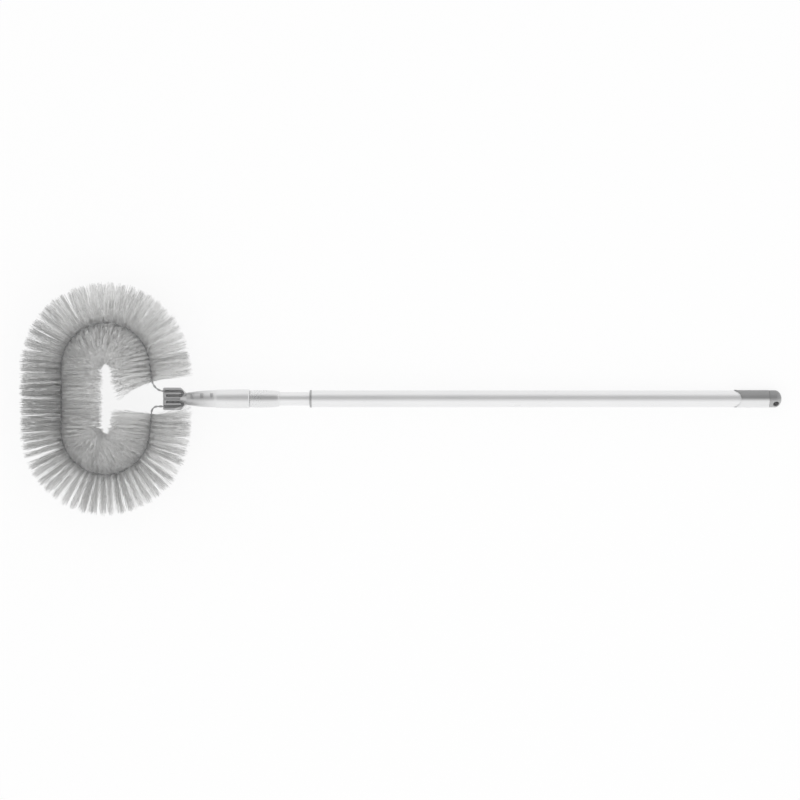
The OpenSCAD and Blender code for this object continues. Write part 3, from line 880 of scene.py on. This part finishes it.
        # Painted light at the roots: the shade darkens towards the tips, so the crowded roots are
        # painted paler than the tips.
        strands = graph.add(
            "GeometryNodeStoreNamedAttribute", {"data_type": "FLOAT", "domain": "POINT"},
            {"Geometry": strands, "Name": "shade",
             "Value": held("shade") - share * given.out("Root Painted Light")},
        )
        radius = (given.out("Root Radius")
                  + (given.out("Tip Radius") - given.out("Root Radius")) * share)
        ring = graph.add(
            "GeometryNodeCurvePrimitiveCircle", {"mode": "RADIUS"},
            {"Resolution": self.facets, "Radius": 1.0},
        )
        made.close(graph.add(
            "GeometryNodeCurveToMesh", {},
            {"Curve": strands, "Profile Curve": ring, "Scale": radius, "Fill Caps": True},
        ))
        return made

    def values(self, runs: np.ndarray) -> dict[str, np.ndarray]:
        """Gives what the filaments do along the wire.

        Args:
            runs: Distances along the brushed stretch.

        Returns:
            Values by the attribute's name: how far tufts gather, how loosely they fan out, how
            pale they are painted (painted light and shade along the brush), how far filaments are
            shoved aside at a parting, and how they lean at the two ends.
        """
        shares = [stop.share for stop in self.stops]
        found = {"run": runs, "shove": np.zeros_like(runs)}
        for name in ("gather", "loose", "tone"):
            column = [getattr(stop, name) for stop in self.stops]
            found[name] = np.interp(runs / self.route.brush_len, shares, column)
        for parting in self.partings:
            away = runs - parting.run
            fade = np.exp(-np.abs(away) / parting.width)
            found["shove"] += np.sign(away) * parting.depth * fade
        at_start = np.exp(-runs / self.end_reach)
        at_stop = np.exp(-(self.route.brush_len - runs) / self.end_reach)
        leans = zip(("lean_out", "lean_in"), self.start_leans, self.stop_leans)
        for name, start, stop in leans:
            found[name] = stop * at_stop + start * at_start
        return found

    def build(self, material: bpy.types.Material) -> None:
        """Grows each section and puts it on the brush head.

        Args:
            material: The filaments' material.
        """
        tree = self.tree()
        size = self.route.brush_len / self.sections
        for number in range(1, self.sections + 1):
            start = self.route.brush_start + (number - 1) * size
            points, runs = self.route.stretch(start, start + size, self.line_points)
            values = self.values(runs - self.route.brush_start)
            line = self.route.line(f"stretch_{number:02d}", points, values)
            piece = tree.grow(line, f"filaments_{number:02d}", {
                "Finish": material, "Seed": self.seed + self.seed_step * number,
            })
            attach(piece, Body.BRUSH_HEAD.value)
            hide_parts(f"bristles_{number:02d}")
            LOG.info("%s: %d faces", piece.name, len(piece.data.polygons))


@dataclass
class TwistedWire:
    """The two strands of wire, twisted round each other from hook to hook."""

    route: WireRoute
    strand_radius: float = 0.8 * MM
    half_turn: float = 8 * MM
    rings: int = 760
    facets: int = 9
    line_points: int = 1500

    def tree(self) -> Tree:
        """Builds the tree that twists two strands along a line.

        Returns:
            The finished tree.
        """
        made = Tree("twisted_pair", {
            "Strand Radius": self.strand_radius, "Half Turn": self.half_turn,
            "Rings": self.rings, "Facets": self.facets,
        })
        graph, given = made.graph, made.given
        curve = graph.add("GeometryNodeMeshToCurve", {}, {"Mesh": given.out("Wire")})
        curve = graph.add(
            "GeometryNodeResampleCurve", {}, {"Curve": curve, "Count": given.out("Rings")}
        )
        curve = graph.add("GeometryNodeSetCurveNormal", {"mode": "Z_UP"}, {"Curve": curve})
        length = graph.add("GeometryNodeSplineParameter").out("Length")
        curve = graph.add(
            "GeometryNodeSetCurveTilt", {},
            {"Curve": curve, "Tilt": length / given.out("Half Turn") * math.pi},
        )
        ring = graph.add(
            "GeometryNodeCurvePrimitiveCircle", {"mode": "RADIUS"},
            {"Resolution": given.out("Facets"), "Radius": given.out("Strand Radius")},
        )
        pair = graph.add("GeometryNodeJoinGeometry")
        for way in (1.0, -1.0):
            shift = graph.add("ShaderNodeCombineXYZ", {}, {"X": given.out("Strand Radius") * way})
            moved = graph.add(
                "GeometryNodeTransform", {}, {"Geometry": ring, "Translation": shift}
            )
            graph.tree.links.new(moved.socket, pair.node.inputs["Geometry"])
        made.close(graph.add(
            "GeometryNodeCurveToMesh", {},
            {"Curve": curve, "Profile Curve": pair, "Fill Caps": True},
        ))
        return made

    def build(self, material: bpy.types.Material) -> None:
        """Makes the wire and puts it on the brush head.

        Args:
            material: The wire's material.
        """
        points, runs = self.route.stretch(0.0, float(self.route.runs[-1]), self.line_points)
        line = self.route.line("wire_line", points, {"run": runs})
        piece = self.tree().grow(line, "twisted_wire", {"Finish": material})
        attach(piece, Body.BRUSH_HEAD.value)
        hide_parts("wire_loop")
        LOG.info("%s: %d faces", piece.name, len(piece.data.polygons))


@dataclass
class Fittings:
    """The moulded and drawn parts, which keep their CAD shapes and get finer finishes."""

    dressed: dict[str, str] = field(default_factory=lambda: {
        "outer_tube": "tube_aluminium",
        "inner_tube": "tube_aluminium",
        "mouth_collar": "collar_plastic",
        "end_grip": "grip_plastic",
        "hanger_cap": "cap_plastic",
        "pole_cone": "cone_plastic",
        "brush_socket": "socket_plastic",
        "lock_spindle": "lock_plastic",
        "lock_sleeve": "lock_plastic",
        "wedge_nut": "lock_plastic",
        "spindle_pin": "steel",
        "spindle_stop": "steel",
    })

    def build(self, finished: dict[str, bpy.types.Material]) -> None:
        """Dresses the CAD nodes.

        Args:
            finished: Materials by name.
        """
        for node, finish in self.dressed.items():
            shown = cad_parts[node]
            for slot in shown.material_slots:
                slot.material = finished[finish]
            LOG.info("%s: %s", node, finish)


@dataclass(frozen=True)
class SoftLamp:
    """A soft lamp beside the pole: where it stands, its length and width, and its watts."""

    side: Side
    height: float
    away: float
    length: float
    width: float
    power: float


@dataclass
class Studio:
    """A pale floor, soft lamps and a long lens above the brush."""

    pixels: int = 800
    pixel_size: float = 1.488 * MM
    centre: tuple[float, float] = (-558 * MM, -1.8 * MM)
    lens: float = 100.0
    sensor: float = 36.0
    rest_z: float = -59.7 * MM
    heel_z: float = -13.2 * MM
    rest_x: float = -1060 * MM
    heel_x: float = -5 * MM
    floor_x: tuple[float, float] = (-9.0, 8.0)
    floor_y: tuple[float, float] = (-9.0, 9.0)
    floor_grey: float = 0.97
    shadow_share: float = 0.13
    tent_tilt: float = 15.0
    tent: tuple[tuple[float, float], ...] = (
        (0.48, 1.0), (0.66, 0.92), (0.81, 0.68), (0.91, 0.42), (0.975, 0.26), (1.0, 0.22),
    )
    lamps: tuple[SoftLamp, ...] = (
        SoftLamp(Side.LOWER, 1.9, 0.8, 3.0, 1.5, 9.0),
        SoftLamp(Side.UPPER, 1.9, 0.8, 3.0, 1.5, 5.5),
    )

    def white_share(self, graph: Graph, camera_share: float) -> Signal:
        """Tells the rays that see plain white from the others.

        Args:
            graph: The material's or the world's graph.
            camera_share: The share of white that the camera sees.

        Returns:
            1 for glossy and transmission rays, and the share for camera rays.
        """
        path = graph.add("ShaderNodeLightPath")
        white = path.out("Is Camera Ray") * camera_share + path.out("Is Glossy Ray")
        return (white + path.out("Is Transmission Ray")).math("MINIMUM", 1.0)

    def floor(self) -> None:
        """Lays the floor under the bristles and the pole's end."""
        slope = (self.heel_z - self.rest_z) / (self.heel_x - self.rest_x)
        (left, right), (near, far) = self.floor_x, self.floor_y
        corners = [(x, y, self.rest_z + (x - self.rest_x) * slope)
                   for x, y in ((left, near), (right, near), (right, far), (left, far))]
        mesh = bpy.data.meshes.new("floor")
        mesh.from_pydata(corners, [], [(0, 1, 2, 3)])
        material = bpy.data.materials.new("floor_white")
        material.use_nodes = True
        graph = Graph(material.node_tree)
        material.node_tree.nodes.clear()
        grey = (self.floor_grey, self.floor_grey, self.floor_grey, 1.0)
        matt = graph.add("ShaderNodeBsdfDiffuse", {}, {"Color": grey})
        glow = graph.add("ShaderNodeEmission", {}, {"Color": WHITE, "Strength": 1.0})
        share = self.white_share(graph, 1.0 - self.shadow_share)
        both = graph.add("ShaderNodeMixShader", {}, {0: share, 1: matt, 2: glow})
        graph.add("ShaderNodeOutputMaterial", {}, {"Surface": both})
        mesh.materials.append(material)
        put("floor", mesh)

    def world(self) -> None:
        """Makes the surroundings: white to the eye, and a pale tent that is dimmer overhead."""
        world = bpy.data.worlds.new("surroundings")
        bpy.context.scene.world = world
        world.use_nodes = True
        graph = Graph(world.node_tree)
        world.node_tree.nodes.clear()
        way = graph.add("ShaderNodeTexCoord").out("Generated")
        tilt = math.radians(self.tent_tilt)
        facing = way.dot((0.0, math.sin(tilt), math.cos(tilt)))
        tent = graph.add("ShaderNodeValToRGB", {"stops": self.tent}, {"Fac": facing})
        around = graph.add("ShaderNodeBackground", {}, {"Color": tent, "Strength": 1.0})
        clear = graph.add("ShaderNodeBackground", {}, {"Color": WHITE, "Strength": 1.0})
        eye = graph.add("ShaderNodeLightPath").out("Is Camera Ray")
        seen = graph.add("ShaderNodeMixShader", {}, {0: eye, 1: around, 2: clear})
        graph.add("ShaderNodeOutputWorld", {}, {"Surface": seen})

    def hang(self, lamp: SoftLamp) -> None:
        """Hangs a soft lamp beside the pole, turned to it and out of sight of its gloss.

        Args:
            lamp: The lamp's place, size and power.
        """
        light = bpy.data.lights.new(f"lamp_{lamp.side.name.lower()}", "AREA")
        light.shape = "RECTANGLE"
        light.size, light.size_y = lamp.length, lamp.width
        light.energy = lamp.power
        made = put(light.name, light)
        made.visible_glossy = False
        made.location = (self.centre[0], lamp.side.value * lamp.away, lamp.height)
        target = Vector((self.centre[0], 0.0, 0.0)) - made.location
        made.rotation_euler = target.to_track_quat("-Z", "Y").to_euler()

    def camera(self) -> None:
        """Hangs the camera square above the brush, with a long lens."""
        data = bpy.data.cameras.new("camera")
        data.lens, data.sensor_width = self.lens, self.sensor
        made = put("camera", data)
        distance = self.pixels * self.pixel_size * self.lens / self.sensor
        made.location = (*self.centre, distance)
        data.clip_end = 4 * distance
        bpy.context.scene.camera = made

    def build(self) -> None:
        """Sets up the whole studio."""
        self.floor()
        self.world()
        for lamp in self.lamps:
            self.hang(lamp)
        self.camera()
        bpy.context.scene.view_settings.view_transform = "Standard"


def main() -> None:
    """Builds the brush and its studio, and logs the brushed wire's length and the built pieces."""
    logging.basicConfig(level=logging.INFO, format="%(name)s: %(message)s")
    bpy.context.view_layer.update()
    finished = {name: finish.material() for name, finish in FINISHES.items()}
    route = WireRoute()
    LOG.info("brushed wire: %.2f mm", route.brush_len / MM)
    Filaments(route).build(finished["bristle"])
    TwistedWire(route).build(finished["brush_wire"])
    Fittings().build(finished)
    Studio().build()


if __name__ == "__main__":
    main()
